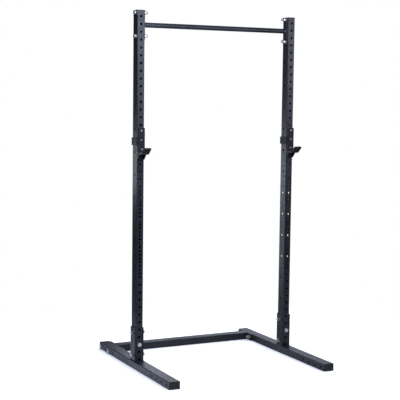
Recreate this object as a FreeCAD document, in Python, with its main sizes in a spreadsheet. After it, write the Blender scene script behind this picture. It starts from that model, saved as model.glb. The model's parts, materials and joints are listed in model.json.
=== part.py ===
import FreeCAD, Part
import Sketcher
import os

# Two-post squat stand with a pull-up bar.
# Frame: millimetres, +Z up, +X to the right, +Y to the rear (the lifter stands at -Y).
# The origin is the centre of the footprint, on the floor.

V = FreeCAD.Vector
X_AXIS, Y_AXIS, Z_AXIS = V(1, 0, 0), V(0, 1, 0), V(0, 0, 1)
SIDES = {"left": -1, "right": 1}
TOLERANCE = 0.01  # for telling faces apart, well below any size of the design

DIMENSIONS = {
    # frame tubes
    "post_width": 50.8,
    "post_depth": 76.2,
    "post_length": 2336.8,
    "post_spacing": 1143.0,
    "foot_width": 76.2,
    "foot_height": 50.8,
    "foot_length": 1219.2,
    "tube_wall": 3.0,
    "tube_corner": 4.5,
    "plate_thickness": 6.35,
    # hole rows
    "hole_diameter": 16.7,
    "hole_pitch": 50.8,
    "fine_pitch": 25.4,
    "coarse_upper_count": 23,
    "fine_count": 24,
    "coarse_lower_count": 11,
    "top_hole_drop": 38.1,
    "side_pitch": 152.4,
    "side_count": 16,
    "side_hole_drop": 12.7,
    "foot_hole_start": 342.9,
    "foot_hole_pitch": 76.2,
    "foot_hole_count": 4,
    # pull-up bar and its flanges
    "bar_diameter": 33.4,
    "bar_wall": 3.4,
    "bar_drop": 3.2,
    "flange_width": 50.8,
    "flange_margin": 25.4,
    "flange_corner": 6.0,
    # sockets on the feet
    "socket_height": 228.6,
    "socket_gap": 0.4,
    "socket_bend": 10.0,
    "socket_hole_margin": 38.1,
    "socket_lug_corner": 8.0,
    "socket_front_hole": 114.3,
    # rear crossmember
    "crossmember_offset": 495.3,
    # plastic caps
    "foot_cap_lip": 2.0,
    "foot_cap_plug": 20.0,
    "post_cap_lip": 3.0,
    "post_cap_plug": 4.0,
    "cap_clearance": 0.25,
    "cap_mark_diameter": 12.0,
    "cap_mark_depth": 0.8,
    # five-eighths hardware
    "bolt_diameter": 15.875,
    "bolt_flats": 23.8,
    "head_height": 9.9,
    "nut_height": 13.9,
    "hex_face_share": 0.96,
    "washer_diameter": 28.0,
    "washer_thickness": 2.5,
    "short_bolt": 88.9,
    "long_bolt": 114.3,
    # J-cups, measured from the pin axis on the post's front face
    "cup_hole_index": 15,
    "cup_side_gap": 0.5,
    "cup_back_gap": 0.8,
    "cup_top": 31.5,
    "cup_bottom": 177.5,
    "cup_corner": 5.0,
    "shelf_drop": 141.5,
    "shelf_reach": 78.0,
    "lip_length": 57.0,
    "lip_angle": 40.0,
    "hook_bend": 16.0,
    "back_liner": 9.5,
    "hook_liner": 6.35,
    "liner_bevel": 4.0,
    "gusset_reach": 42.0,
    "strap_top": 32.5,
    "strap_height": 50.8,
    "strap_rear_gap": 2.0,
    "strap_lip": 20.0,
    "strap_bend": 9.35,
    "pin_diameter": 15.875,
    "pin_reach": 45.0,
    "pin_taper": 3.0,
    "screw_diameter": 8.0,
    "screw_head_diameter": 14.0,
    "screw_head_height": 3.8,
    "screw_top_diameter": 9.0,
    "screw_top": 14.5,
    "screw_pitch": 62.0,
    "screw_count": 3,
    "key_flats": 5.0,
    "key_depth": 2.0,
}

doc = FreeCAD.newDocument("squat_stand")
NODES = {}


def make_sheet():
    sheet = doc.addObject("Spreadsheet::Sheet", "Dims")
    for row, (name, size) in enumerate(DIMENSIONS.items(), 1):
        sheet.set(f"A{row}", name)
        sheet.set(f"B{row}", str(size))
        sheet.setAlias(f"B{row}", name)
    doc.recompute()


def bind(obj, **expressions):
    """Tie properties to expressions; a double underscore stands for a dot."""
    for name, expression in expressions.items():
        obj.setExpression(name.replace("__", "."), expression)


def place(obj, x="0", y="0", z="0", rotation=None):
    if rotation is not None:
        obj.Placement = FreeCAD.Placement(V(), rotation)
    bind(obj, Placement__Base__x=x, Placement__Base__y=y, Placement__Base__z=z)
    return obj


def node(label, obj, x="0", y="0", z="0", rotation=None):
    obj.Label = label
    place(obj, x, y, z, rotation)
    NODES[label] = obj
    return obj


# ---------------------------------------------------------------- sketching helpers


def add_sketch(body, name, role, offset="0"):
    plane = next(f for f in body.Origin.OriginFeatures if f.Role == role)
    sketch = body.newObject("Sketcher::SketchObject", name)
    sketch.AttachmentSupport = [(plane, "")]
    sketch.MapMode = "FlatFace"
    bind(sketch, AttachmentOffset__Base__z=offset)
    return sketch


def pin_point(sketch, geometry, vertex, x, y):
    """Hold one point of the sketch at the expressions x, y from the sketch's origin."""
    for kind, expression in (("DistanceX", x), ("DistanceY", y)):
        index = sketch.addConstraint(Sketcher.Constraint(kind, -1, 1, geometry, vertex, 1.0))
        sketch.setExpression(f"Constraints[{index}]", expression)


def draw_polygon(sketch, corners):
    """Closed outline; corners are pairs of expressions in order round the outline."""
    count = len(corners)
    first = sketch.GeometryCount
    for i in range(count):
        sketch.addGeometry(Part.LineSegment(V(i, i * i, 0), V(i + 1, (i + 1) ** 2, 0)))
    for i in range(count):
        following = first + (i + 1) % count
        sketch.addConstraint(Sketcher.Constraint("Coincident", first + i, 2, following, 1))
    for i, (x, y) in enumerate(corners):
        pin_point(sketch, first + i, 1, x, y)


def draw_rectangle(sketch, width, height):
    w, h = f"({width})/2", f"({height})/2"
    draw_polygon(sketch, [(f"-{w}", f"-{h}"), (w, f"-{h}"), (w, h), (f"-{w}", h)])


def draw_circle(sketch, diameter, x="0", y="0"):
    index = sketch.addGeometry(Part.Circle(V(1, 1, 0), Z_AXIS, 5.0))
    pin_point(sketch, index, 3, x, y)
    size = sketch.addConstraint(Sketcher.Constraint("Diameter", index, 10.0))
    sketch.setExpression(f"Constraints[{size}]", diameter)


def pad(body, sketch, length, symmetric=False, reversed_=False):
    feature = body.newObject("PartDesign::Pad", "Pad")
    feature.Profile = sketch
    feature.SideType = "Symmetric" if symmetric else "One side"
    feature.Reversed = reversed_
    bind(feature, Length=length)
    doc.recompute()
    return feature


def pocket_through(body, sketch):
    """Cut the sketch both ways through the whole body, and insist that it removed something."""
    before = body.Tip.Shape.Volume
    feature = body.newObject("PartDesign::Pocket", "Pocket")
    feature.Profile = sketch
    feature.Type = "ThroughAll"
    feature.SideType = "Symmetric"
    doc.recompute()
    if feature.Shape.Volume >= before:
        raise RuntimeError(f"{body.Name}: the pocket removed nothing")
    return feature


def repeat(body, feature, sketch, axis, pitch, count, reversed_=False):
    pattern = body.newObject("PartDesign::LinearPattern", "Row")
    pattern.Originals = [feature]
    pattern.Direction = (sketch, [axis])
    pattern.Mode = "Spacing"
    pattern.Reversed = reversed_
    bind(pattern, Offset=pitch, Occurrences=count)
    body.Tip = pattern
    doc.recompute()
    return pattern


def edges_along(feature, axis, wanted=None):
    names = []
    for number, edge in enumerate(feature.Shape.Edges, 1):
        run = edge.Vertexes[-1].Point.sub(edge.Vertexes[0].Point)
        if run.Length < 1e-6 or abs(run.dot(axis)) / run.Length < 0.999:
            continue
        if wanted is None or wanted(edge.CenterOfMass):
            names.append(f"Edge{number}")
    return names


def round_edges(body, axis, radius, wanted=None):
    base = body.Tip
    feature = body.newObject("PartDesign::Fillet", "Fillet")
    feature.Base = (base, edges_along(base, axis, wanted))
    bind(feature, Radius=radius)
    doc.recompute()
    return feature


def new_body(label):
    return doc.addObject("PartDesign::Body", label)


def drill_row(body, role, x, y, diameter, axis=None, pitch=None, count=None, reversed_=False):
    sketch = add_sketch(body, "HoleSketch", role)
    draw_circle(sketch, diameter, x, y)
    cut = pocket_through(body, sketch)
    if axis:
        cut = repeat(body, cut, sketch, axis, pitch, count, reversed_)
    return cut


def value(name):
    return float(DIMENSIONS[name])


# ---------------------------------------------------------------- frame tubes


PLANE_NORMAL = {"XY_Plane": Z_AXIS, "XZ_Plane": Y_AXIS, "YZ_Plane": X_AXIS}
BAR_HEIGHT = "Dims.foot_height + Dims.post_length - Dims.side_hole_drop - Dims.side_pitch/2"


def tube_body(label, role, width, height, length, symmetric):
    """Rectangular tube with rounded corners; width and height lie in the plane of the role."""
    body = new_body(label)
    axis = PLANE_NORMAL[role]
    outline = add_sketch(body, "Outline", role)
    draw_rectangle(outline, width, height)
    pad(body, outline, length, symmetric)
    round_edges(body, axis, "Dims.tube_corner")
    outer = {str(e.CenterOfMass) for e in body.Tip.Shape.Edges}
    bore = add_sketch(body, "Bore", role)
    draw_rectangle(bore, f"{width} - 2*Dims.tube_wall", f"{height} - 2*Dims.tube_wall")
    pocket_through(body, bore)
    round_edges(body, axis, "Dims.tube_corner - Dims.tube_wall", lambda p: str(p) not in outer)
    return body


def make_post(side, sign):
    body = tube_body(f"{side}_upright", "XY_Plane", "Dims.post_width", "Dims.post_depth",
                     "Dims.post_length", symmetric=False)
    top = "Dims.post_length - Dims.top_hole_drop"
    fine_start = f"{top} - (Dims.coarse_upper_count - 1)*Dims.hole_pitch - Dims.fine_pitch"
    lower_start = f"{fine_start} - (Dims.fine_count - 1)*Dims.fine_pitch - Dims.hole_pitch"
    rows = [
        (top, "Dims.hole_pitch", "Dims.coarse_upper_count"),
        (fine_start, "Dims.fine_pitch", "Dims.fine_count"),
        (lower_start, "Dims.hole_pitch", "Dims.coarse_lower_count"),
    ]
    for start, pitch, count in rows:
        drill_row(body, "XZ_Plane", "0", start, "Dims.hole_diameter", "V_Axis", pitch, count, True)
    drill_row(body, "YZ_Plane", "0", "Dims.post_length - Dims.side_hole_drop",
              "Dims.hole_diameter", "V_Axis", "Dims.side_pitch", "Dims.side_count", True)
    node(f"{side}_upright", body, x=f"{sign}*Dims.post_spacing/2", z="Dims.foot_height")


def make_foot(side, sign):
    body = tube_body(f"{side}_foot", "XZ_Plane", "Dims.foot_width", "Dims.foot_height",
                     "Dims.foot_length - 2*Dims.foot_cap_lip", symmetric=True)
    for end, reversed_ in ((-1, True), (1, False)):
        drill_row(body, "YZ_Plane", f"{end}*Dims.foot_hole_start", "0", "Dims.hole_diameter",
                  "H_Axis", "Dims.foot_hole_pitch", "Dims.foot_hole_count", reversed_)
    node(f"{side}_foot", body, x=f"{sign}*Dims.post_spacing/2", z="Dims.foot_height/2")


def make_crossmember():
    length = "Dims.post_spacing - Dims.foot_width - 2*Dims.plate_thickness"
    body = tube_body("rear_crossmember", "YZ_Plane", "Dims.foot_width", "Dims.foot_height",
                     length, symmetric=True)
    node("rear_crossmember", body, y="Dims.crossmember_offset", z="Dims.foot_height/2")


def make_pull_up_bar():
    body = new_body("pull_up_bar")
    sketch = add_sketch(body, "Ring", "YZ_Plane")
    draw_circle(sketch, "Dims.bar_diameter")
    draw_circle(sketch, "Dims.bar_diameter - 2*Dims.bar_wall")
    pad(body, sketch, "Dims.post_spacing - Dims.post_width - 2*Dims.plate_thickness", True)
    node("pull_up_bar", body, z=f"{BAR_HEIGHT} - Dims.bar_drop")


# ---------------------------------------------------------------- plates and sockets


def plate_body(label, corners, holes):
    """Flat plate standing across X, with round holes and rounded corners."""
    body = new_body(label)
    sketch = add_sketch(body, "Outline", "YZ_Plane")
    draw_polygon(sketch, corners)
    pad(body, sketch, "Dims.plate_thickness")
    round_edges(body, X_AXIS, "Dims.flange_corner")
    for x, y in holes:
        drill_row(body, "YZ_Plane", x, y, "Dims.hole_diameter")
    return body


def inner_face_x(sign, half_width):
    """Where a plate that pads along +X starts, on the inner face of a post or foot."""
    face = f"{sign}*(Dims.post_spacing/2 - {half_width})"
    return face if sign < 0 else f"{face} - Dims.plate_thickness"


def make_bar_flange(side, sign):
    low = "-(Dims.side_pitch/2 + Dims.flange_margin)"
    high = "Dims.side_pitch/2 + Dims.side_hole_drop"
    wide = "Dims.flange_width/2"
    body = plate_body(
        f"{side}_bar_flange",
        [(f"-{wide}", low), (wide, low), (wide, high), (f"-{wide}", high)],
        [("0", "Dims.side_pitch/2"), ("0", "-Dims.side_pitch/2")])
    node(f"{side}_bar_flange", body, x=inner_face_x(sign, "Dims.post_width/2"), z=BAR_HEIGHT)


def make_crossmember_flange(side, sign):
    wide = "(Dims.side_pitch/2 + Dims.flange_margin)"
    high = "Dims.foot_height/2"
    body = plate_body(
        f"{side}_crossmember_flange",
        [(f"-{wide}", f"-{high}"), (wide, f"-{high}"), (wide, high), (f"-{wide}", high)],
        [("Dims.side_pitch/2", "0"), ("-Dims.side_pitch/2", "0")])
    node(f"{side}_crossmember_flange", body, x=inner_face_x(sign, "Dims.foot_width/2"),
         y="Dims.crossmember_offset", z="Dims.foot_height/2")


def make_socket(side, sign):
    """Folded three-sided socket, open at the front, standing on the foot round the post."""
    inner_x = "(Dims.post_width/2 + Dims.socket_gap)"
    outer_x = "(Dims.post_width/2 + Dims.socket_gap + Dims.plate_thickness)"
    front = "-Dims.post_depth/2"
    inner_y = "(Dims.post_depth/2 + Dims.socket_gap)"
    outer_y = "(Dims.post_depth/2 + Dims.socket_gap + Dims.plate_thickness)"
    body = new_body(f"{side}_socket")
    sketch = add_sketch(body, "Channel", "XY_Plane")
    draw_polygon(sketch, [
        (f"-{outer_x}", front), (f"-{inner_x}", front), (f"-{inner_x}", inner_y),
        (inner_x, inner_y), (inner_x, front), (outer_x, front), (outer_x, outer_y),
        (f"-{outer_x}", outer_y)])
    pad(body, sketch, "Dims.socket_height")
    back_face = value("post_depth") / 2 + value("socket_gap")
    side_face = value("post_width") / 2 + value("socket_gap")

    def outer_bend(p):
        return p.y > back_face + TOLERANCE

    def inner_bend(p):
        return abs(p.y - back_face) < TOLERANCE and abs(p.x) < side_face + TOLERANCE

    def lug_corner(p):
        at_front = p.y < TOLERANCE - value("post_depth") / 2
        return at_front and p.z > value("socket_height") - TOLERANCE

    round_edges(body, Z_AXIS, "Dims.socket_bend", outer_bend)
    round_edges(body, Z_AXIS, "Dims.socket_bend - Dims.plate_thickness", inner_bend)
    round_edges(body, X_AXIS, "Dims.socket_lug_corner", lug_corner)
    drill_row(body, "YZ_Plane", "0", "Dims.socket_hole_margin", "Dims.hole_diameter",
              "V_Axis", "Dims.side_pitch", "2")
    drill_row(body, "XZ_Plane", "0", "Dims.socket_front_hole", "Dims.hole_diameter")
    node(f"{side}_socket", body, x=f"{sign}*Dims.post_spacing/2", z="Dims.foot_height")


# ---------------------------------------------------------------- plastic caps


def cap_body(label, role, width, height, lip, plug, mark):
    """Lip on one side of the plane, plug on the other; the lip lies along the plane's normal."""
    body = new_body(label)
    axis = PLANE_NORMAL[role]
    lip_sketch = add_sketch(body, "Lip", role)
    draw_rectangle(lip_sketch, width, height)
    pad(body, lip_sketch, lip)
    round_edges(body, axis, "Dims.tube_corner")
    plug_sketch = add_sketch(body, "Plug", role)
    slack = "2*(Dims.tube_wall + Dims.cap_clearance)"
    draw_rectangle(plug_sketch, f"{width} - {slack}", f"{height} - {slack}")
    before = {str(e.CenterOfMass) for e in body.Tip.Shape.Edges}
    pad(body, plug_sketch, plug, reversed_=True)
    round_edges(body, axis, "Dims.tube_corner - Dims.tube_wall", lambda p: str(p) not in before)
    if mark:
        add_cap_mark(body, role, lip)
    return body


def add_cap_mark(body, role, lip):
    """Shallow round gate mark in the middle of the visible face."""
    sketch = add_sketch(body, "Mark", role, offset=lip)
    draw_circle(sketch, "Dims.cap_mark_diameter")
    before = body.Tip.Shape.Volume
    cut = body.newObject("PartDesign::Pocket", "MarkPocket")
    cut.Profile = sketch
    bind(cut, Length="Dims.cap_mark_depth")
    doc.recompute()
    if cut.Shape.Volume >= before:
        raise RuntimeError(f"{body.Name}: the mark removed nothing")


def make_foot_caps(side, sign):
    turn = {"front": (-1, FreeCAD.Rotation()), "rear": (1, FreeCAD.Rotation(Z_AXIS, 180))}
    for end, (direction, rotation) in turn.items():
        label = f"{side}_foot_{end}_cap"
        body = cap_body(label, "XZ_Plane", "Dims.foot_width", "Dims.foot_height",
                        "Dims.foot_cap_lip", "Dims.foot_cap_plug", mark=True)
        node(label, body, x=f"{sign}*Dims.post_spacing/2",
             y=f"{direction}*(Dims.foot_length/2 - Dims.foot_cap_lip)", z="Dims.foot_height/2",
             rotation=rotation)


def make_post_cap(side, sign):
    label = f"{side}_upright_cap"
    body = cap_body(label, "XY_Plane", "Dims.post_width", "Dims.post_depth",
                    "Dims.post_cap_lip", "Dims.post_cap_plug", mark=False)
    node(label, body, x=f"{sign}*Dims.post_spacing/2", z="Dims.foot_height + Dims.post_length")


# ---------------------------------------------------------------- bolts, nuts and washers
# Each is made along its own +Z, with z = 0 on the surface that the head's washer bears on.


def primitive(kind, z="0", **sizes):
    obj = doc.addObject(f"Part::{kind}", kind)
    bind(obj, **sizes)
    return place(obj, z=z)


def boolean(kind, base, tool):
    obj = doc.addObject(f"Part::{kind}", kind)
    obj.Base, obj.Tool = base, tool
    return obj


def fuse(*parts):
    obj = doc.addObject("Part::MultiFuse", "Fusion")
    obj.Shapes = list(parts)
    return obj


def compound(parts):
    obj = doc.addObject("Part::Compound", "Group")
    obj.Links = list(parts)
    return obj


def chamfered_hexagon(height, z, small_end_first):
    """Hexagon whose corners are turned off at one end by a thirty degree cone."""
    prism = primitive("Prism", z, Circumradius="Dims.bolt_flats/2/cos(30)", Height=height)
    prism.Polygon = 6
    small = "Dims.bolt_flats/2*Dims.hex_face_share"
    large = f"{small} + {height}*tan(60)"
    first, last = (small, large) if small_end_first else (large, small)
    cone = primitive("Cone", z, Radius1=first, Radius2=last, Height=height)
    return boolean("Common", prism, cone)


def hex_bolt(length):
    head = chamfered_hexagon("Dims.head_height", "-Dims.washer_thickness - Dims.head_height", True)
    shank = primitive("Cylinder", "-Dims.washer_thickness",
                      Radius="Dims.bolt_diameter/2", Height=length)
    return fuse(head, shank)


def hex_nut(grip):
    start = f"{grip} + Dims.washer_thickness"
    body = chamfered_hexagon("Dims.nut_height", start, False)
    bore = primitive("Cylinder", start, Radius="Dims.bolt_diameter/2", Height="Dims.nut_height")
    return boolean("Cut", body, bore)


def washer(z):
    disc = primitive("Cylinder", z, Radius="Dims.washer_diameter/2",
                     Height="Dims.washer_thickness")
    bore = primitive("Cylinder", z, Radius="Dims.bolt_diameter/2",
                     Height="Dims.washer_thickness")
    return boolean("Cut", disc, bore)


def washer_pair(grip):
    return compound([washer("-Dims.washer_thickness"), washer(grip)])


def inward(sign):
    """Turns local +Z towards the middle of the stand."""
    return FreeCAD.Rotation(Y_AXIS, -90 * sign)


REARWARD = FreeCAD.Rotation(X_AXIS, -90)


def bolted_row(name, bolts, length, grip, rotation):
    """One node per bolt and one for the row's nuts; returns the row's washer pairs."""
    nuts, washers = [], []
    for bolt_name, (x, y, z) in bolts.items():
        node(bolt_name, hex_bolt(length), x, y, z, rotation)
        nuts.append(place(hex_nut(grip), x, y, z, rotation))
        washers.append(place(washer_pair(grip), x, y, z, rotation))
    nut_object = nuts[0] if len(nuts) == 1 else compound(nuts)
    nut_object.Label = name
    NODES[name] = nut_object
    return washers


def make_fasteners():
    bar_washers, socket_washers, crossmember_washers = [], [], []
    for side, sign in SIDES.items():
        post_face = f"{sign}*(Dims.post_spacing/2 + Dims.post_width/2)"
        bar_bolts = {
            f"{side}_bar_upper_bolt": (post_face, "0", f"{BAR_HEIGHT} + Dims.side_pitch/2"),
            f"{side}_bar_lower_bolt": (post_face, "0", f"{BAR_HEIGHT} - Dims.side_pitch/2"),
        }
        bar_washers += bolted_row(f"{side}_bar_nuts", bar_bolts, "Dims.short_bolt",
                                  "Dims.post_width + Dims.plate_thickness", inward(sign))
        wall = "Dims.socket_gap + Dims.plate_thickness"
        socket_face = f"{sign}*(Dims.post_spacing/2 + Dims.post_width/2 + {wall})"
        low = "Dims.foot_height + Dims.socket_hole_margin"
        socket_bolts = {
            f"{side}_socket_upper_bolt": (socket_face, "0", f"{low} + Dims.side_pitch"),
            f"{side}_socket_lower_bolt": (socket_face, "0", low),
        }
        socket_washers += bolted_row(f"{side}_socket_nuts", socket_bolts, "Dims.short_bolt",
                                     f"Dims.post_width + 2*({wall})", inward(sign))
        front_bolt = {f"{side}_socket_front_bolt": (
            f"{sign}*Dims.post_spacing/2", "-Dims.post_depth/2",
            "Dims.foot_height + Dims.socket_front_hole")}
        socket_washers += bolted_row(f"{side}_socket_rear_nut", front_bolt, "Dims.long_bolt",
                                     f"Dims.post_depth + {wall}", REARWARD)
        foot_face = f"{sign}*(Dims.post_spacing/2 + Dims.foot_width/2)"
        centre = "Dims.crossmember_offset"
        crossmember_bolts = {
            f"{side}_crossmember_front_bolt":
                (foot_face, f"{centre} - Dims.side_pitch/2", "Dims.foot_height/2"),
            f"{side}_crossmember_rear_bolt":
                (foot_face, f"{centre} + Dims.side_pitch/2", "Dims.foot_height/2"),
        }
        crossmember_washers += bolted_row(
            f"{side}_crossmember_nuts", crossmember_bolts, "Dims.long_bolt",
            "Dims.foot_width + Dims.plate_thickness", inward(sign))
    node("bar_washers", compound(bar_washers))
    node("socket_washers", compound(socket_washers))
    node("crossmember_washers", compound(crossmember_washers))


# ---------------------------------------------------------------- J-cups
# Each is made about its pin: x across, y towards the post, z up, with the origin where the
# pin's axis meets the post's front face.


CUP_WIDTH = "(Dims.post_width + 2*Dims.cup_side_gap)"
PLATE_FRONT = "(Dims.cup_back_gap + Dims.plate_thickness)"
LINER_FRONT = "(Dims.cup_back_gap + Dims.plate_thickness + Dims.back_liner)"
CUP_HEIGHT = ("Dims.foot_height + Dims.post_length - Dims.top_hole_drop"
              " - Dims.cup_hole_index*Dims.hole_pitch")


def drill_screw_row(body):
    drill_row(body, "XZ_Plane", "0", "Dims.screw_top", "Dims.screw_diameter", "V_Axis",
              "Dims.screw_pitch", "Dims.screw_count", True)


def cup_plate(label):
    body = new_body(label)
    sketch = add_sketch(body, "Plate", "XZ_Plane", offset="Dims.cup_back_gap")
    half = f"{CUP_WIDTH}/2"
    draw_polygon(sketch, [(f"-{half}", "-Dims.cup_bottom"), (half, "-Dims.cup_bottom"),
                          (half, "Dims.cup_top"), (f"-{half}", "Dims.cup_top")])
    pad(body, sketch, "Dims.plate_thickness")
    round_edges(body, Y_AXIS, "Dims.cup_corner")
    drill_screw_row(body)
    drill_row(body, "XZ_Plane", "0", "0", "Dims.pin_diameter")
    return body


def cup_back_liner(label):
    """Plastic facing of the back plate, with bevelled long edges."""
    body = new_body(label)
    base = "-(Dims.shelf_drop - Dims.plate_thickness - Dims.hook_liner)"
    sketch = add_sketch(body, "Section", "XY_Plane", offset=base)
    half = f"{CUP_WIDTH}/2"
    bevel = "Dims.liner_bevel"
    draw_polygon(sketch, [
        (f"-{half}", f"-{PLATE_FRONT}"), (f"-{half}", f"-{LINER_FRONT} + {bevel}"),
        (f"-{half} + {bevel}", f"-{LINER_FRONT}"), (f"{half} - {bevel}", f"-{LINER_FRONT}"),
        (half, f"-{LINER_FRONT} + {bevel}"), (half, f"-{PLATE_FRONT}")])
    pad(body, sketch, f"Dims.cup_top - ({base})")
    drill_screw_row(body)
    return body


def hook_strip(label, low, high, low_bend, high_bend):
    """Strip that runs out along the shelf and turns up into the lip.

    low and high are the strip's two faces, measured up from the underside of the steel shelf.
    """
    body = new_body(label)
    sketch = add_sketch(body, "Profile", "YZ_Plane")

    def lip_end(face):
        along_y = "-Dims.shelf_reach - Dims.lip_length*cos(Dims.lip_angle)"
        along_z = "Dims.lip_length*sin(Dims.lip_angle)"
        return (f"{along_y} + {face}*sin(Dims.lip_angle)",
                f"{along_z} + {face}*cos(Dims.lip_angle)")

    def corner(face):
        return (f"-Dims.shelf_reach + {face}*tan(Dims.lip_angle/2)", face)

    draw_polygon(sketch, [
        (f"-{PLATE_FRONT}", low), corner(low), lip_end(low),
        lip_end(high), corner(high), (f"-{PLATE_FRONT}", high)])
    pad(body, sketch, CUP_WIDTH, symmetric=True)
    deepest = value("plate_thickness") + value("hook_liner")

    def is_bend(p):
        return abs(p.y + value("shelf_reach")) < deepest / 2

    lower_edge = min(p.z for p in edge_centres(body, X_AXIS, is_bend))
    round_edges(body, X_AXIS, low_bend, lambda p: is_bend(p) and p.z < lower_edge + TOLERANCE)
    upper_edge = max(p.z for p in edge_centres(body, X_AXIS, is_bend))
    round_edges(body, X_AXIS, high_bend, lambda p: is_bend(p) and p.z > upper_edge - TOLERANCE)
    return body


def edge_centres(body, axis, wanted):
    names = edges_along(body.Tip, axis, wanted)
    return [body.Tip.Shape.getElement(name).CenterOfMass for name in names]


def cup_gussets(label):
    """Pair of triangular webs under the shelf, one flush with each side of the cup."""
    body = new_body(label)
    body.AllowCompound = True
    sketch = add_sketch(body, "Triangle", "YZ_Plane",
                        offset=f"{CUP_WIDTH}/2 - Dims.plate_thickness")
    draw_polygon(sketch, [(f"-{PLATE_FRONT}", "0"), ("-Dims.gusset_reach", "0"),
                          (f"-{PLATE_FRONT}", "-(Dims.cup_bottom - Dims.shelf_drop)")])
    web = pad(body, sketch, "Dims.plate_thickness")
    mirror = body.newObject("PartDesign::Mirrored", "Mirror")
    mirror.Originals = [web]
    plane = next(f for f in body.Origin.OriginFeatures if f.Role == "YZ_Plane")
    mirror.MirrorPlane = (plane, [""])
    body.Tip = mirror
    doc.recompute()
    return body


def cup_strap(label):
    """Flat bar along the post's -X side, with a lip that catches behind the post."""
    body = new_body(label)
    sketch = add_sketch(body, "Plan", "XY_Plane", offset="-Dims.strap_top - Dims.strap_height")
    inner = f"-{CUP_WIDTH}/2"
    outer = f"-{CUP_WIDTH}/2 - Dims.plate_thickness"
    lip_face = "Dims.post_depth + Dims.strap_rear_gap"
    lip_back = f"{lip_face} + Dims.plate_thickness"
    lip_end = f"{outer} + Dims.strap_lip"
    draw_polygon(sketch, [
        (outer, f"-{PLATE_FRONT}"), (inner, f"-{PLATE_FRONT}"), (inner, lip_face),
        (lip_end, lip_face), (lip_end, lip_back), (outer, lip_back)])
    pad(body, sketch, "Dims.strap_height")
    back = value("post_depth") + value("strap_rear_gap")
    inner_x = -value("post_width") / 2 - value("cup_side_gap")
    outer_x = inner_x - value("plate_thickness")

    def outer_bend(p):
        return p.y > back + TOLERANCE and p.x < outer_x + TOLERANCE

    def inner_bend(p):
        return abs(p.y - back) < TOLERANCE and p.x < inner_x + TOLERANCE

    round_edges(body, Z_AXIS, "Dims.strap_bend", outer_bend)
    round_edges(body, Z_AXIS, "Dims.strap_bend - Dims.plate_thickness", inner_bend)
    return body


def cup_pin():
    straight = f"Dims.pin_reach - Dims.pin_taper + {PLATE_FRONT}"
    shaft = primitive("Cylinder", "0", Radius="Dims.pin_diameter/2", Height=straight)
    tip = primitive("Cone", straight, Radius1="Dims.pin_diameter/2",
                    Radius2="Dims.pin_diameter/2 - Dims.pin_taper", Height="Dims.pin_taper")
    return fuse(shaft, tip)


def cup_screw(z):
    """Button-head screw with a hexagon socket, its head on the face of the liner."""
    head = primitive("Cone", "-Dims.screw_head_height", Radius1="Dims.screw_top_diameter/2",
                     Radius2="Dims.screw_head_diameter/2", Height="Dims.screw_head_height")
    shank = primitive("Cylinder", "0", Radius="Dims.screw_diameter/2",
                      Height="Dims.back_liner + Dims.plate_thickness")
    key = primitive("Prism", "-Dims.screw_head_height",
                    Circumradius="Dims.key_flats/2/cos(30)", Height="Dims.key_depth")
    key.Polygon = 6
    screw = boolean("Cut", fuse(head, shank), key)
    return place(screw, y=f"-{LINER_FRONT}", z=z, rotation=REARWARD)


def make_jcup(side, sign):
    """Both cups are the same part, so the strap is on the -X side of each post."""
    x, y = f"{sign}*Dims.post_spacing/2", "-Dims.post_depth/2"
    shelf = f"{CUP_HEIGHT} - Dims.shelf_drop"
    steel, liner = "Dims.plate_thickness", "(Dims.plate_thickness + Dims.hook_liner)"
    mid_bend = "Dims.hook_bend - Dims.plate_thickness"
    name = f"{side}_jcup"
    node(f"{name}_plate", cup_plate(f"{name}_plate"), x, y, CUP_HEIGHT)
    hook = hook_strip(f"{name}_hook", "0", steel, "Dims.hook_bend", mid_bend)
    node(f"{name}_hook", hook, x, y, shelf)
    hook_liner = hook_strip(f"{name}_hook_liner", steel, liner, mid_bend,
                            f"{mid_bend} - Dims.hook_liner")
    node(f"{name}_hook_liner", hook_liner, x, y, shelf)
    node(f"{name}_gussets", cup_gussets(f"{name}_gussets"), x, y, shelf)
    node(f"{name}_back_liner", cup_back_liner(f"{name}_back_liner"), x, y, CUP_HEIGHT)
    node(f"{name}_strap", cup_strap(f"{name}_strap"), x, y, CUP_HEIGHT)
    node(f"{name}_pin", cup_pin(), x, f"{y} - {PLATE_FRONT}", CUP_HEIGHT, REARWARD)
    screws = [cup_screw(f"Dims.screw_top - {i}*Dims.screw_pitch")
              for i in range(DIMENSIONS["screw_count"])]
    node(f"{name}_screws", compound(screws), x, y, CUP_HEIGHT)


# ---------------------------------------------------------------- build, check, export


def build():
    make_sheet()
    for side, sign in SIDES.items():
        make_post(side, sign)
        make_post_cap(side, sign)
        make_foot(side, sign)
        make_foot_caps(side, sign)
        make_socket(side, sign)
        make_bar_flange(side, sign)
        make_crossmember_flange(side, sign)
        make_jcup(side, sign)
    make_crossmember()
    make_pull_up_bar()
    make_fasteners()
    doc.recompute()


def check():
    for obj in doc.Objects:
        if "Invalid" in obj.State or "Error" in obj.State:
            raise RuntimeError(f"{obj.Name} ({obj.Label}) failed: {obj.State}")
    for label, obj in NODES.items():
        if obj.Label != label:
            raise RuntimeError(f"{label} was renamed to {obj.Label}")
        if obj.Shape.isNull() or not obj.Shape.isValid() or obj.Shape.Volume <= 0:
            raise RuntimeError(f"{label} has no valid solid")


def export():
    os.makedirs("parts", exist_ok=True)
    for label, obj in NODES.items():
        obj.Shape.exportStep(os.path.join("parts", f"{label}.step"))
        print(f"{label}: {len(obj.Shape.Solids)} solid(s), {obj.Shape.Volume / 1000:.1f} cm3")
    print(f"{len(NODES)} nodes")


build()
check()
export()
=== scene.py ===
import json
import math

import bpy
from mathutils import Matrix, Vector


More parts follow.
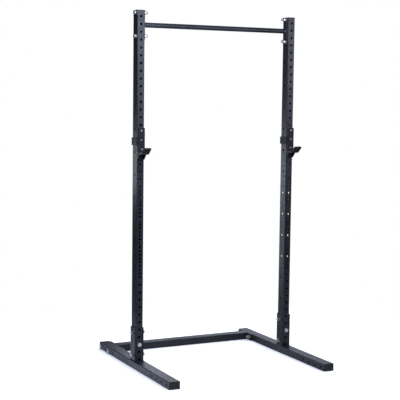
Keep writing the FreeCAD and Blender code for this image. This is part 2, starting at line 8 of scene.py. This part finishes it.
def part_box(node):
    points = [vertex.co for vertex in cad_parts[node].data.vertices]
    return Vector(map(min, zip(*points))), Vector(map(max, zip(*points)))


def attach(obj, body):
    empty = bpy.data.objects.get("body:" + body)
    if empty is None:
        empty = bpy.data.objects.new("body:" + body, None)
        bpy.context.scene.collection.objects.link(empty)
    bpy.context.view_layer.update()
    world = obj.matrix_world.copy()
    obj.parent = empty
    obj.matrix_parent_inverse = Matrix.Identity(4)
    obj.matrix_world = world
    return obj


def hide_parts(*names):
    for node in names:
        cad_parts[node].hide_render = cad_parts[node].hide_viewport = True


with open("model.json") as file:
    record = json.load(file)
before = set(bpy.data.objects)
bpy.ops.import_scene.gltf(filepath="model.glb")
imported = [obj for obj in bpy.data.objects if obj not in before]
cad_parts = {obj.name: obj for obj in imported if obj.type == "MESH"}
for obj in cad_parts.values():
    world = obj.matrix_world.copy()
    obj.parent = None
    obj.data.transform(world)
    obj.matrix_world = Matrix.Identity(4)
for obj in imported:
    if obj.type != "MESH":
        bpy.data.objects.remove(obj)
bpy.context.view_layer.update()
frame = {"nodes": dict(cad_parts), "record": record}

SIDES = {"left": -1, "right": 1}
MM = 0.001

# Hardware sizes that the boxes of the CAD nodes don't give, in metres.
BOLT_RADIUS = 7.9375 * MM
BOLT_FLATS = 23.8 * MM
HEAD_HEIGHT = 9.9 * MM
THREAD_PITCH = 2.309 * MM
THREAD_DEPTH = 1.25 * MM
THREAD_LENGTH = 26 * MM
THREAD_CREST = 0.12  # shares of half a pitch
THREAD_FLANK = 0.7
EASED_CORNER = 1.145  # of half the flats; a sharp hexagon's is 1.155
PLATE = 6.35 * MM
TUBE_CORNER = 4.5 * MM
SOCKET_BEND = 10.0 * MM


# ---------------------------------------------------------------- meshes


def new_piece(name, vertices, faces, material, body, smooth_angle=32):
    """Mesh piece with smooth faces and sharp edges, riding on a CAD body."""
    mesh = bpy.data.meshes.new(name)
    mesh.from_pydata([tuple(v) for v in vertices], [], faces)
    mesh.validate()
    mesh.polygons.foreach_set("use_smooth", [True] * len(mesh.polygons))
    mesh.set_sharp_from_angle(angle=math.radians(smooth_angle))
    mesh.materials.append(material)
    piece = bpy.data.objects.new(name, mesh)
    bpy.context.scene.collection.objects.link(piece)
    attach(piece, body)
    return piece


def ring_faces(rows, around, closed_rows=False):
    """Quads between successive rows of points; each row goes once round."""
    faces = []
    last = rows if closed_rows else rows - 1
    for row in range(last):
        below, above = row * around, ((row + 1) % rows) * around
        for i in range(around):
            j = (i + 1) % around
            faces.append((below + i, below + j, above + j, above + i))
    return faces


def strip_faces(rows, across, closed_rows=False):
    """Quads between successive rows of points that don't close across."""
    faces = []
    last = rows if closed_rows else rows - 1
    for row in range(last):
        below, above = row * across, ((row + 1) % rows) * across
        for i in range(across - 1):
            faces.append((below + i, below + i + 1, above + i + 1, above + i))
    return faces


# ---------------------------------------------------------------- bolts


AROUND = 48
ROWS_PER_THREAD = 6
AXIS_RADIUS = 0.2 * MM  # of the small flats that close both ends


def hexagon_radius(angle):
    """Distance from the axis to the bolt head's hexagon, with slightly eased corners."""
    sixth = math.pi / 3
    off = (angle + sixth / 2) % sixth - sixth / 2
    return min(BOLT_FLATS / 2 / math.cos(off), BOLT_FLATS / 2 * EASED_CORNER)


def thread_radius(angle, height):
    """Helical thread: flat crests and roots, straight flanks."""
    turn = (height / THREAD_PITCH - angle / (2 * math.pi)) % 1.0
    flank = abs(turn - 0.5) * 2
    return BOLT_RADIUS - THREAD_DEPTH * min(max((flank - THREAD_CREST) / THREAD_FLANK, 0.0), 1.0)


def bolt_rows(length):
    """Rows of (radius function, height function), from the head's middle to the tip."""
    flat = BOLT_FLATS / 2
    top = -HEAD_HEIGHT
    face = 0.6 * MM
    chamfer = math.tan(math.radians(30))
    inner = flat * 0.95
    dish = 0.25 * MM
    rows = [(lambda a: AXIS_RADIUS, lambda a: top + dish),
            (lambda a: flat * 0.55, lambda a: top + dish),
            (lambda a: flat * 0.62, lambda a: top),
            (lambda a: inner, lambda a: top),
            (hexagon_radius, lambda a: top + (hexagon_radius(a) - inner) * chamfer),
            (hexagon_radius, lambda a: -face),
            (lambda a: flat * 0.96, lambda a: -face),
            (lambda a: flat * 0.96, lambda a: 0.0),
            (lambda a: BOLT_RADIUS, lambda a: 0.0)]
    start = length - THREAD_LENGTH
    rows.append((lambda a: BOLT_RADIUS, lambda a: start))
    steps = round(THREAD_LENGTH / THREAD_PITCH * ROWS_PER_THREAD)
    tip = 1.6 * MM
    for i in range(1, steps + 1):
        z = start + THREAD_LENGTH * i / steps
        runout = min((z - start) / (2 * THREAD_PITCH), 1.0)
        end_cone = BOLT_RADIUS - max(0.0, z - (length - tip))

        def radius(a, z=z, runout=runout, end_cone=end_cone):
            threaded = BOLT_RADIUS + (thread_radius(a, z) - BOLT_RADIUS) * runout
            return min(threaded, end_cone)

        rows.append((radius, lambda a, z=z: z))
    rows.append((lambda a: BOLT_RADIUS * 0.35, lambda a: length))
    rows.append((lambda a: AXIS_RADIUS, lambda a: length - 0.3 * MM))
    return rows


def make_bolt(node, axis, material):
    """Machined bolt in place of a CAD bolt: chamfered head, washer face, thread, coned tip."""
    low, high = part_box(node)
    middle = (low + high) / 2
    along = Vector(axis)
    span = abs((high - low).dot(along))
    seat = middle - along * (span / 2 - HEAD_HEIGHT)
    turn = along.to_track_quat("Z", "Y").to_matrix().to_4x4()
    place = Matrix.Translation(seat) @ turn
    points = []
    rows = bolt_rows(span - HEAD_HEIGHT)
    for radius, height in rows:
        for i in range(AROUND):
            a = 2 * math.pi * i / AROUND
            r = radius(a)
            points.append(place @ Vector((r * math.cos(a), r * math.sin(a), height(a))))
    faces = ring_faces(len(rows), AROUND)
    faces.append(tuple(reversed(range(AROUND))))
    faces.append(tuple(range(len(points) - AROUND, len(points))))
    piece = new_piece(node + "_machined", points, faces, material, "stand")
    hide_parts(node)


# ---------------------------------------------------------------- weld beads


RIPPLE_PITCH = 2.6 * MM
RIPPLE_LAG = 0.45  # of a pitch, from the toes to the crown
RIPPLE_DEPTH = 0.16
BEAD_BULGE = 0.16
BEAD_END = 0.02  # of the full size, squared, that a tapered end keeps
BEAD_ACROSS = 7
BEAD_STEP = 0.5 * MM


def bead_rows(frames, taper=4 * MM):
    """Points of a rippled fillet bead.

    frames are (distance, corner, toe_a, toe_b): how far along, the corner's point, and the
    vectors from there to the bead's two toes.
    """
    total = frames[-1][0]
    points = []
    for s, corner, toe_a, toe_b in frames:
        ends = min(1.0, s / taper, (total - s) / taper) if taper else 1.0
        size = math.sqrt(max(ends, BEAD_END))
        for i in range(BEAD_ACROSS):
            t = i / (BEAD_ACROSS - 1)
            crown = 1 - (2 * t - 1) ** 2
            phase = (s / RIPPLE_PITCH - RIPPLE_LAG * crown) % 1.0
            ripple = 1 + RIPPLE_DEPTH * crown * (1 - phase) ** 1.5
            wave = 1 + 0.05 * math.sin(s / (9.1 * MM)) + 0.03 * math.sin(s / (3.7 * MM))
            straight = toe_a * (1 - t) + toe_b * t
            bulge = (toe_a + toe_b) * BEAD_BULGE * crown
            points.append(corner + (straight + bulge) * size * ripple * wave)
    return points


def straight_frames(start, end, toe_a, toe_b):
    """Frames of a bead along a straight line."""
    run = end - start
    count = max(2, round(run.length / BEAD_STEP) + 1)
    return [(run.length * i / (count - 1), start + run * (i / (count - 1)), toe_a, toe_b)
            for i in range(count)]


def joined_beads(bead_list):
    """One vertex and face list out of several beads; each is (points, closed)."""
    vertices, faces = [], []
    for points, closed in bead_list:
        rows = len(points) // BEAD_ACROSS
        offset = len(vertices)
        vertices += points
        faces += [tuple(offset + k for k in f) for f in strip_faces(rows, BEAD_ACROSS, closed)]
    return vertices, faces


def socket_bead(side):
    """Bead round the foot of a socket: along one side, round the back and along the other."""
    low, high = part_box(f"{side}_socket")
    foot_low, foot_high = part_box(f"{side}_foot")
    z = foot_high.z
    leg = 4.4 * MM
    flat_half = (foot_high.x - foot_low.x) / 2 - TUBE_CORNER
    middle = (low.x + high.x) / 2
    r = SOCKET_BEND
    path = []

    def mark(x, y, nx, ny):
        path.append((Vector((x, y, z)), Vector((nx, ny, 0))))

    def run(a, b, normal):
        count = round((b - a).length / BEAD_STEP)
        for i in range(count):
            p = a + (b - a) * (i / count)
            mark(p.x, p.y, normal[0], normal[1])

    def bend(cx, cy, start, finish):
        count = round(abs(finish - start) * r / BEAD_STEP)
        for i in range(count):
            a = start + (finish - start) * i / count
            mark(cx + r * math.cos(a), cy + r * math.sin(a), math.cos(a), math.sin(a))

    run(Vector((low.x, low.y, z)), Vector((low.x, high.y - r, z)), (-1, 0))
    bend(low.x + r, high.y - r, math.pi, math.pi / 2)
    run(Vector((low.x + r, high.y, z)), Vector((high.x - r, high.y, z)), (0, 1))
    bend(high.x - r, high.y - r, math.pi / 2, 0)
    run(Vector((high.x, high.y - r, z)), Vector((high.x, low.y, z)), (1, 0))
    frames = []
    s = 0.0
    for i, (corner, normal) in enumerate(path):
        if i:
            s += (corner - path[i - 1][0]).length
        over = max(0.0, abs(corner.x + normal.x * leg - middle) - flat_half)
        drop = TUBE_CORNER - math.sqrt(TUBE_CORNER ** 2 - min(over, TUBE_CORNER) ** 2)
        toe = normal * leg - Vector((0, 0, drop))
        frames.append((s, corner, toe, Vector((0, 0, leg))))
    return bead_rows(frames)


def bar_bead(sign):
    """Ring bead where the pull-up bar meets its flange."""
    low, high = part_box("pull_up_bar")
    radius = (high.z - low.z) / 2
    end = low.x if sign < 0 else high.x
    centre = Vector((end, (low.y + high.y) / 2, (low.z + high.z) / 2))
    leg = 4.8 * MM
    count = round(2 * math.pi * radius / BEAD_STEP)
    frames = []
    for i in range(count):
        a = 2 * math.pi * i / count
        outward = Vector((0, math.cos(a), math.sin(a)))
        frames.append((radius * a, centre + outward * radius, outward * leg,
                       Vector((-sign * leg, 0, 0))))
    return bead_rows(frames, taper=0)


def crossmember_beads(sign):
    """Two upright beads where the crossmember meets its flange, front and back."""
    low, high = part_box("rear_crossmember")
    x = low.x if sign < 0 else high.x
    leg = 4.6 * MM
    inset = TUBE_CORNER * 0.6
    beads = []
    for y, way in ((low.y, -1), (high.y, 1)):
        start = Vector((x, y, low.z + inset))
        end = Vector((x, y, high.z - inset))
        frames = straight_frames(start, end, Vector((0, way * leg, 0)), Vector((-sign * leg, 0, 0)))
        beads.append((bead_rows(frames), False))
    return beads


def cup_beads(side):
    """Beads under the shelf of a J-cup and at the ends of its strap."""
    plate_low, plate_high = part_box(f"{side}_jcup_plate")
    gusset_low, gusset_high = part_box(f"{side}_jcup_gussets")
    strap_low, strap_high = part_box(f"{side}_jcup_strap")
    leg = 4.0 * MM
    shelf, front = gusset_high.z, plate_low.y
    inner = (gusset_low.x + PLATE, gusset_high.x - PLATE)
    margin = 3 * MM
    back, down = Vector((0, -leg, 0)), Vector((0, 0, -leg))
    runs = [(Vector((inner[0] + margin, front, shelf)), Vector((inner[1] - margin, front, shelf)),
             back, down)]
    for x, way in ((inner[0], 1), (inner[1], -1)):
        across = Vector((way * leg, 0, 0))
        runs.append((Vector((x, front, gusset_low.z + margin)),
                     Vector((x, front, shelf - margin)), back, across))
        runs.append((Vector((x, front - margin, shelf)),
                     Vector((x, gusset_low.y + 2 * margin, shelf)), across, down))
    for z, way in ((strap_high.z, 1), (strap_low.z, -1)):
        runs.append((Vector((plate_low.x, plate_low.y, z)), Vector((plate_low.x, plate_high.y, z)),
                     Vector((0, 0, way * leg)), Vector((-leg, 0, 0))))
    return [(bead_rows(straight_frames(*run), taper=2 * MM), False) for run in runs]


def make_welds(material, cup_material):
    for side, sign in SIDES.items():
        groups = (
            ("socket_weld", [(socket_bead(side), False)], "stand", material),
            ("bar_weld", [(bar_bead(sign), True)], "stand", material),
            ("crossmember_welds", crossmember_beads(sign), "stand", material),
            ("jcup_welds", cup_beads(side), f"{side}_jcup", cup_material),
        )
        for group, beads, body, finish in groups:
            vertices, faces = joined_beads(beads)
            new_piece(f"{side}_{group}", vertices, faces, finish, body,
                      smooth_angle=70)


# ---------------------------------------------------------------- materials


COAT_TINT = (0.0155, 0.0165, 0.0235)
# The J-cups' tint is darker than the uprights' as painted shade.
CUP_SHADED_TINT = (0.009, 0.010, 0.014)
WELD_TINT = (0.017, 0.018, 0.025)
COAT_EDGE = (0.075, 0.076, 0.082)
DUST = (0.10, 0.10, 0.105)
ZINC_BLUE, ZINC_STRAW = (0.56, 0.58, 0.62), (0.60, 0.59, 0.55)
ZINC_MARK, ZINC_EDGE = (0.38, 0.38, 0.39), (0.66, 0.66, 0.67)
CAP_DARK, CAP_RUBBED = (0.013, 0.013, 0.015), (0.040, 0.040, 0.044)
CAP_EDGE = (0.06, 0.06, 0.065)
LINER_DARK, LINER_LIGHT = (0.008, 0.008, 0.010), (0.015, 0.015, 0.018)
LINER_SCUFF, LINER_EDGE = (0.05, 0.05, 0.056), (0.06, 0.06, 0.062)

# Sockets of the Mix node for colours, whose names its other kinds share.
MIX_FACTOR, MIX_FIRST, MIX_SECOND = 0, 6, 7
MIX_RESULT = 2


def feed(tree, socket, given):
    """Links a socket to another one, or sets it to a constant."""
    if isinstance(given, bpy.types.NodeSocket):
        tree.links.new(given, socket)
    else:
        socket.default_value = given


def add(tree, kind, values=None, **settings):
    """New node; values go to its sockets, as numbers or as links, settings to its properties."""
    made = tree.nodes.new("ShaderNode" + kind)
    for name, setting in settings.items():
        setattr(made, name, setting)
    for name, given in (values or {}).items():
        feed(tree, made.inputs[name], given)
    return made


def blank_material(name):
    material = bpy.data.materials.new(name)
    material.use_nodes = True
    material.node_tree.nodes.clear()
    return material, material.node_tree


def new_material(name):
    material, tree = blank_material(name)
    shader = add(tree, "BsdfPrincipled")
    add(tree, "OutputMaterial", {"Surface": shader.outputs["BSDF"]})
    return material, tree, shader


def noise(tree, place, scale, detail=2.0, roughness=0.5, distortion=0.0):
    return add(tree, "TexNoise", {"Vector": place, "Scale": scale, "Detail": detail,
                                  "Roughness": roughness, "Distortion": distortion}).outputs["Fac"]


def spread(tree, value, low, high, to_low, to_high):
    """Maps value from low..high to to_low..to_high, clamped, with soft ends."""
    return add(tree, "MapRange", {"Value": value, "From Min": low, "From Max": high,
                                  "To Min": to_low, "To Max": to_high},
               interpolation_type="SMOOTHSTEP").outputs["Result"]


def maths(tree, operation, first, second=0.0):
    node = add(tree, "Math", operation=operation)
    feed(tree, node.inputs[0], first)
    feed(tree, node.inputs[1], second)
    return node.outputs["Value"]


def mixed(tree, factor, first, second):
    """Colour mix; first and second are RGB triples or colour sockets."""
    node = add(tree, "Mix", data_type="RGBA")
    feed(tree, node.inputs[MIX_FACTOR], factor)
    for index, given in ((MIX_FIRST, first), (MIX_SECOND, second)):
        feed(tree, node.inputs[index], (*given, 1.0) if isinstance(given, tuple) else given)
    return node.outputs[MIX_RESULT]


def eased_edges(tree, radius):
    """Normal with rounded edges, and a mask that is 1 on the edges."""
    bevel = add(tree, "Bevel", {"Radius": radius}, samples=4).outputs["Normal"]
    plain = add(tree, "NewGeometry").outputs["Normal"]
    dot = add(tree, "VectorMath", operation="DOT_PRODUCT")
    tree.links.new(bevel, dot.inputs[0])
    tree.links.new(plain, dot.inputs[1])
    return bevel, spread(tree, dot.outputs["Value"], 0.80, 0.995, 1.0, 0.0)


def bump(tree, height, strength, distance, normal):
    return add(tree, "Bump", {"Height": height, "Strength": strength, "Distance": distance,
                              "Normal": normal}).outputs["Normal"]


def powder_coat(name, tint, roughness, grain_strength=0.45, shine=0.5):
    """Satin textured powder coat: fine wrinkle, faint clouds, paler edges, a little dust."""
    material, tree, shader = new_material(name)
    place = add(tree, "TexCoord").outputs["Object"]
    wrinkle = noise(tree, place, scale=620, detail=3.0, roughness=0.6, distortion=0.4)
    peel = add(tree, "TexVoronoi", {"Vector": place, "Scale": 900.0, "Smoothness": 0.8},
               feature="SMOOTH_F1").outputs["Distance"]
    cloud = noise(tree, place, scale=7, detail=3.0)
    haze = noise(tree, place, scale=42, detail=2.0)
    dust = spread(tree, noise(tree, place, scale=340, detail=1.0), 0.70, 0.78, 0.0, 0.35)
    normal, edge = eased_edges(tree, 0.9 * MM)
    dark = tuple(0.78 * c for c in tint)
    light = tuple(1.25 * c for c in tint)
    colour = mixed(tree, spread(tree, cloud, 0.35, 0.65, 0.0, 1.0), dark, light)
    colour = mixed(tree, maths(tree, "MULTIPLY", edge, 0.4), colour, COAT_EDGE)
    colour = mixed(tree, maths(tree, "MULTIPLY", dust, 0.5), colour, DUST)
    tree.links.new(colour, shader.inputs["Base Color"])
    rough = maths(tree, "ADD", spread(tree, haze, 0.3, 0.7, roughness - 0.05, roughness + 0.05),
                  spread(tree, wrinkle, 0.3, 0.7, -0.04, 0.04))
    tree.links.new(rough, shader.inputs["Roughness"])
    height = maths(tree, "ADD", wrinkle, maths(tree, "MULTIPLY", peel, 0.6))
    tree.links.new(bump(tree, height, grain_strength, 0.12 * MM, normal), shader.inputs["Normal"])
    shader.inputs["Specular IOR Level"].default_value = shine
    return material


def zinc_plate(name, bright=1.0):
    """Zinc plate: satin metal, faint blue and straw tints, handling marks, paler edges; bright
    above 1 lightens its colours into a painted highlight.
    """
    material, tree, shader = new_material(name)
    place = add(tree, "TexCoord").outputs["Object"]
    tint = noise(tree, place, scale=60, detail=2.0, distortion=1.5)
    grain = noise(tree, place, scale=1500, detail=2.0)
    marks = noise(tree, place, scale=260, detail=3.0, roughness=0.7)
    normal, edge = eased_edges(tree, 0.6 * MM)
    colour = mixed(tree, spread(tree, tint, 0.38, 0.62, 0.0, 1.0),
                   tuple(bright * c for c in ZINC_BLUE),
                   tuple(bright * c for c in ZINC_STRAW))
    colour = mixed(tree, spread(tree, marks, 0.56, 0.72, 0.0, 0.45), colour, ZINC_MARK)
    colour = mixed(tree, maths(tree, "MULTIPLY", edge, 0.5), colour, ZINC_EDGE)
    tree.links.new(colour, shader.inputs["Base Color"])
    rough = maths(tree, "ADD", spread(tree, marks, 0.35, 0.7, 0.30, 0.48),
                  spread(tree, grain, 0.3, 0.7, -0.03, 0.03))
    tree.links.new(rough, shader.inputs["Roughness"])
    height = maths(tree, "ADD", grain, marks)
    tree.links.new(bump(tree, height, 0.25, 0.05 * MM, normal), shader.inputs["Normal"])
    shader.inputs["Metallic"].default_value = 1.0
    return material


def moulded_plastic(name):
    """Black moulded cap: fine spark-eroded texture, slightly grey where it has been rubbed."""
    material, tree, shader = new_material(name)
    place = add(tree, "TexCoord").outputs["Object"]
    grain = noise(tree, place, scale=1300, detail=2.0, roughness=0.6)
    rub = noise(tree, place, scale=75, detail=4.0, roughness=0.65)
    normal, edge = eased_edges(tree, 0.8 * MM)
    colour = mixed(tree, spread(tree, rub, 0.5, 0.72, 0.0, 0.6), CAP_DARK, CAP_RUBBED)
    colour = mixed(tree, maths(tree, "MULTIPLY", edge, 0.5), colour, CAP_EDGE)
    tree.links.new(colour, shader.inputs["Base Color"])
    tree.links.new(spread(tree, rub, 0.3, 0.7, 0.62, 0.48), shader.inputs["Roughness"])
    tree.links.new(bump(tree, grain, 0.5, 0.10 * MM, normal), shader.inputs["Normal"])
    return material


def machined_plastic(name):
    """Cut sheet of slippery plastic: fine planing lines and pale scuffs along the bar."""
    material, tree, shader = new_material(name)
    place = add(tree, "TexCoord").outputs["Object"]
    stretched = add(tree, "Mapping", {"Vector": place, "Scale": (40.0, 900.0, 900.0)})
    scuffs = noise(tree, stretched.outputs["Vector"], scale=1.0, detail=3.0, roughness=0.6)
    lines = add(tree, "TexWave", {"Vector": place, "Scale": 500.0, "Distortion": 1.5,
                                  "Detail": 1.0}, bands_direction="X").outputs["Fac"]
    mottle = noise(tree, place, scale=120, detail=3.0)
    normal, edge = eased_edges(tree, 0.8 * MM)
    colour = mixed(tree, spread(tree, mottle, 0.35, 0.65, 0.0, 1.0), LINER_DARK, LINER_LIGHT)
    colour = mixed(tree, spread(tree, scuffs, 0.58, 0.74, 0.0, 0.45), colour, LINER_SCUFF)
    colour = mixed(tree, maths(tree, "MULTIPLY", edge, 0.4), colour, LINER_EDGE)
    tree.links.new(colour, shader.inputs["Base Color"])
    tree.links.new(spread(tree, scuffs, 0.3, 0.75, 0.38, 0.62), shader.inputs["Roughness"])
    shader.inputs["Specular IOR Level"].default_value = 0.3
    height = maths(tree, "ADD", maths(tree, "MULTIPLY", lines, 0.5), scuffs)
    tree.links.new(bump(tree, height, 0.3, 0.06 * MM, normal), shader.inputs["Normal"])
    return material


def dress_nodes(finishes, shaded_cup_coat):
    """Gives each CAD node its slot's material; the J-cups' own coat is rougher and less shiny, and
    its darker tint is painted shade.
    """
    for part in frame["record"]["subparts"]:
        slot = part["material_slot"]
        on_cup = "_jcup_" in part["node"] and slot == "black_powder_coat"
        piece = frame["nodes"][part["node"]]
        piece.data.materials.clear()
        piece.data.materials.append(shaded_cup_coat if on_cup else finishes[slot])


# ---------------------------------------------------------------- studio


FLOOR_RADIUS = 9.0
FLOOR_FADE = (1.1, 2.3)  # distances from the middle between which the floor thins out
SEEN_FLOOR_Z = -0.2 * MM
BOUNCE_FLOOR_Z = -0.5 * MM
CONTACT_REACH = 0.38  # how far from the object the seen floor carries its painted contact shadow
PAINTED_SHADOW_TINT, FLOOR_WHITE = (0.30, 0.33, 0.42), (0.81, 0.83, 0.86)
FLOOR_MATT = ((0.80, 0.79, 0.77), (0.84, 0.83, 0.81))
BOUNCE_BLUE = (0.60, 0.70, 1.0, 1.0)
BACKDROP_RADIUS = 30.0
WHITE = (1.0, 1.0, 1.0, 1.0)
WORLD_COLOUR, WORLD_STRENGTH = (0.8, 0.9, 1.0, 1.0), 0.05
COOL, BLUE = (0.84, 0.89, 1.0), (0.76, 0.81, 1.0)

# Name, place, target, width, height, radiance, colour.
LIGHTS = (
    ("key_left", (-0.8, -1.3, 2.8), (-0.5, 0, 2.1), 0.8, 0.8, 23.0, COOL),
    ("key_middle", (1.6, -3.0, 2.4), (0, 0, 1.8), 2.0, 0.8, 7.7, BLUE),
    ("left_near", (-1.25, 0.35, 1.34), (-0.6, 0, 1.34), 0.3, 0.3, 12.0, COOL),
    ("left_mirrored", (-1.0, 0.8, 1.32), (-0.6, 0, 1.33), 0.4, 0.4, 1.5, COOL),
    ("inner_low", (-0.05, 1.1, 0.8), (0.55, 0, 0.8), 0.6, 1.0, 1.4, BLUE),
    ("inner_middle", (-0.35, 1.6, 1.3), (0.55, 0, 1.4), 0.8, 0.6, 2.3, BLUE),
    ("back_right", (3.0, 4.0, 1.4), (0.3, 0.3, 0.3), 2.4, 1.6, 1.1, BLUE),
    ("rear_fill", (1.8, 3.6, 2.7), (0.2, 0, 1.2), 2.0, 1.4, 2.4, COOL),
    ("right_fill", (3.6, -0.4, 2.1), (0.5, 0, 1.1), 1.8, 1.6, 2.4, COOL),
)


def stage_object(name, points, faces):
    """Shadowless studio object; its material is left empty and comes back as a tree to fill."""
    mesh = bpy.data.meshes.new(name)
    mesh.from_pydata(points, [], faces)
    made = bpy.data.objects.new(name, mesh)
    bpy.context.scene.collection.objects.link(made)
    material, tree = blank_material(name)
    mesh.materials.append(material)
    made.visible_shadow = False
    return made, tree


def make_disc(name, height):
    """Round floor, and its tree for the caller to fill."""
    rings, around = 24, 96
    points, faces = [(0, 0, 0)], []
    for ring in range(1, rings + 1):
        r = FLOOR_RADIUS * ring / rings
        for i in range(around):
            a = 2 * math.pi * i / around
            points.append((r * math.cos(a), r * math.sin(a), 0))
    faces += [(0, 1 + i, 1 + (i + 1) % around) for i in range(around)]
    faces += [tuple(k + 1 for k in f) for f in ring_faces(rings, around)]
    disc, tree = stage_object(name, points, faces)
    disc.location.z = height
    return disc, tree


def floor_surface(tree, place, glow, strength):
    """Pale matt floor with a glow, thinning out to nothing so that no horizon shows."""
    away = add(tree, "VectorMath", {"Vector": place}, operation="LENGTH").outputs["Value"]
    grain = noise(tree, place, scale=14, detail=3.0)
    colour = mixed(tree, grain, *FLOOR_MATT)
    matt = add(tree, "BsdfDiffuse", {"Color": colour}).outputs["BSDF"]
    lift = add(tree, "Emission", {"Color": glow, "Strength": strength}).outputs["Emission"]
    lifted = add(tree, "AddShader")
    tree.links.new(matt, lifted.inputs[0])
    tree.links.new(lift, lifted.inputs[1])
    mix = add(tree, "MixShader", {"Fac": spread(tree, away, *FLOOR_FADE, 0.0, 1.0)})
    tree.links.new(lifted.outputs["Shader"], mix.inputs[1])
    tree.links.new(add(tree, "BsdfTransparent").outputs["BSDF"], mix.inputs[2])
    add(tree, "OutputMaterial", {"Surface": mix.outputs["Shader"]})


def make_floor():
    """The floor that the camera sees, with a painted contact shadow, and a dimmer one that lights
    the object from below.
    """
    seen, tree = make_disc("floor", SEEN_FLOOR_Z)
    seen.visible_diffuse = False
    seen.visible_glossy = False
    place = add(tree, "TexCoord").outputs["Object"]
    # Painted contact shadow: the seen floor's glow turns bluish grey where the object hides the
    # sky.
    open_sky = add(tree, "AmbientOcclusion", {"Distance": CONTACT_REACH}, samples=16).outputs["AO"]
    glow = mixed(tree, spread(tree, open_sky, 0.40, 1.0, 0.0, 1.0), PAINTED_SHADOW_TINT, FLOOR_WHITE)
    floor_surface(tree, place, glow, 1.0)
    bounce, tree = make_disc("floor_bounce", BOUNCE_FLOOR_Z)
    bounce.visible_camera = False
    place = add(tree, "TexCoord").outputs["Object"]
    split = add(tree, "SeparateXYZ", {"Vector": place}).outputs
    # The glow is brightest to the left of the stand, faint at the front and fainter behind.
    left = spread(tree, split["X"], -0.72, -0.52, 0.60, 0.0)
    middle = spread(tree, split["Y"], 0.05, 0.30, 0.16, 0.02)
    floor_surface(tree, place, BOUNCE_BLUE, maths(tree, "ADD", left, middle))


def make_backdrop():
    """White surround that only the camera sees, so that it neither lights nor mirrors."""
    rings, around = 24, 48
    points = []
    for ring in range(rings):
        tilt = math.pi * (ring + 0.5) / rings
        for i in range(around):
            a = 2 * math.pi * i / around
            points.append((BACKDROP_RADIUS * math.sin(tilt) * math.cos(a),
                           BACKDROP_RADIUS * math.sin(tilt) * math.sin(a),
                           BACKDROP_RADIUS * math.cos(tilt)))
    faces = ring_faces(rings, around)
    faces.append(tuple(range(around)))
    faces.append(tuple(reversed(range(len(points) - around, len(points)))))
    backdrop, tree = stage_object("backdrop", points, faces)
    white = add(tree, "Emission", {"Color": WHITE, "Strength": 1.0})
    add(tree, "OutputMaterial", {"Surface": white.outputs["Emission"]})
    backdrop.visible_diffuse = False
    backdrop.visible_glossy = False
    backdrop.visible_transmission = False


def aim(obj, place, target):
    look = Vector(target) - Vector(place)
    obj.matrix_world = (Matrix.Translation(Vector(place))
                        @ look.to_track_quat("-Z", "Y").to_matrix().to_4x4())


def soft_light(name, place, target, width, height, radiance, colour):
    """Rectangular light; radiance is how bright its face looks."""
    data = bpy.data.lights.new(name, "AREA")
    data.shape = "RECTANGLE"
    data.size, data.size_y = width, height
    data.energy = radiance * math.pi * width * height
    data.color = colour
    lamp = bpy.data.objects.new(name, data)
    bpy.context.scene.collection.objects.link(lamp)
    aim(lamp, place, target)
    lamp.visible_camera = False


def light_world():
    """Nearly dark, faintly blue surround."""
    world = bpy.data.worlds.new("studio")
    bpy.context.scene.world = world
    world.use_nodes = True
    tree = world.node_tree
    tree.nodes.clear()
    glow = add(tree, "Background", {"Color": WORLD_COLOUR, "Strength": WORLD_STRENGTH})
    add(tree, "OutputWorld", {"Surface": glow.outputs["Background"]})


def light_studio():
    light_world()
    for light in LIGHTS:
        soft_light(*light)


# ---------------------------------------------------------------- camera


CAMERA_PLACE = (-3.32603, -6.55221, 1.81439)
CAMERA_TURN = (26.144, 5.402, 0.679)  # yaw, pitch down and roll, in degrees
CAMERA_LENS = 96.112
CAMERA_SENSOR = 36.0
CAMERA_FAR = 200.0


def make_camera():
    """Long lens at the front left, about three quarters of the way up the uprights."""
    yaw, pitch, roll = (math.radians(a) for a in CAMERA_TURN)
    forward = Vector((math.sin(yaw) * math.cos(pitch), math.cos(yaw) * math.cos(pitch),
                      -math.sin(pitch)))
    right = Vector((math.cos(yaw), -math.sin(yaw), 0))
    up = right.cross(forward)
    tilted_right = right * math.cos(roll) + up * math.sin(roll)
    tilted_up = up * math.cos(roll) - right * math.sin(roll)
    data = bpy.data.cameras.new("camera")
    data.sensor_width = CAMERA_SENSOR
    data.lens = CAMERA_LENS
    data.clip_end = CAMERA_FAR
    camera = bpy.data.objects.new("camera", data)
    bpy.context.scene.collection.objects.link(camera)
    turn = Matrix((tilted_right, tilted_up, -forward)).transposed().to_4x4()
    camera.matrix_world = Matrix.Translation(CAMERA_PLACE) @ turn
    bpy.context.scene.camera = camera


# ---------------------------------------------------------------- the scene


def make_bolts(material, highlight_front_material):
    for side, sign in SIDES.items():
        inward = (-sign, 0, 0)
        for row in ("bar_upper", "bar_lower", "socket_upper", "socket_lower",
                    "crossmember_front", "crossmember_rear"):
            make_bolt(f"{side}_{row}_bolt", inward, material)
        # The front socket bolts take a brightened zinc whose paler colour is a painted highlight.
        make_bolt(f"{side}_socket_front_bolt", (0, 1, 0), highlight_front_material)


coat = powder_coat("black_powder_coat", COAT_TINT, 0.41)
# Rougher, less shiny copy of the powder coat whose darker tint is painted shade on the J-cups and
# their welds.
shaded_cup_coat = powder_coat("shaded_cup_powder_coat", CUP_SHADED_TINT, 0.54, shine=0.25)
weld_coat = powder_coat("weld_powder_coat", WELD_TINT, 0.36, grain_strength=0.3)
zinc = zinc_plate("zinc_hardware")
finishes = {
    "black_powder_coat": coat,
    "zinc_hardware": zinc,
    "black_cap_plastic": moulded_plastic("black_cap_plastic"),
    "liner_plastic": machined_plastic("liner_plastic"),
}
dress_nodes(finishes, shaded_cup_coat)
# The second zinc is 1.6 times brighter: a painted highlight for the front socket bolts.
make_bolts(zinc, zinc_plate("painted_highlight_zinc", bright=1.6))
make_welds(weld_coat, shaded_cup_coat)
make_floor()
make_backdrop()
light_studio()
make_camera()
bpy.context.scene.view_settings.view_transform = "Standard"
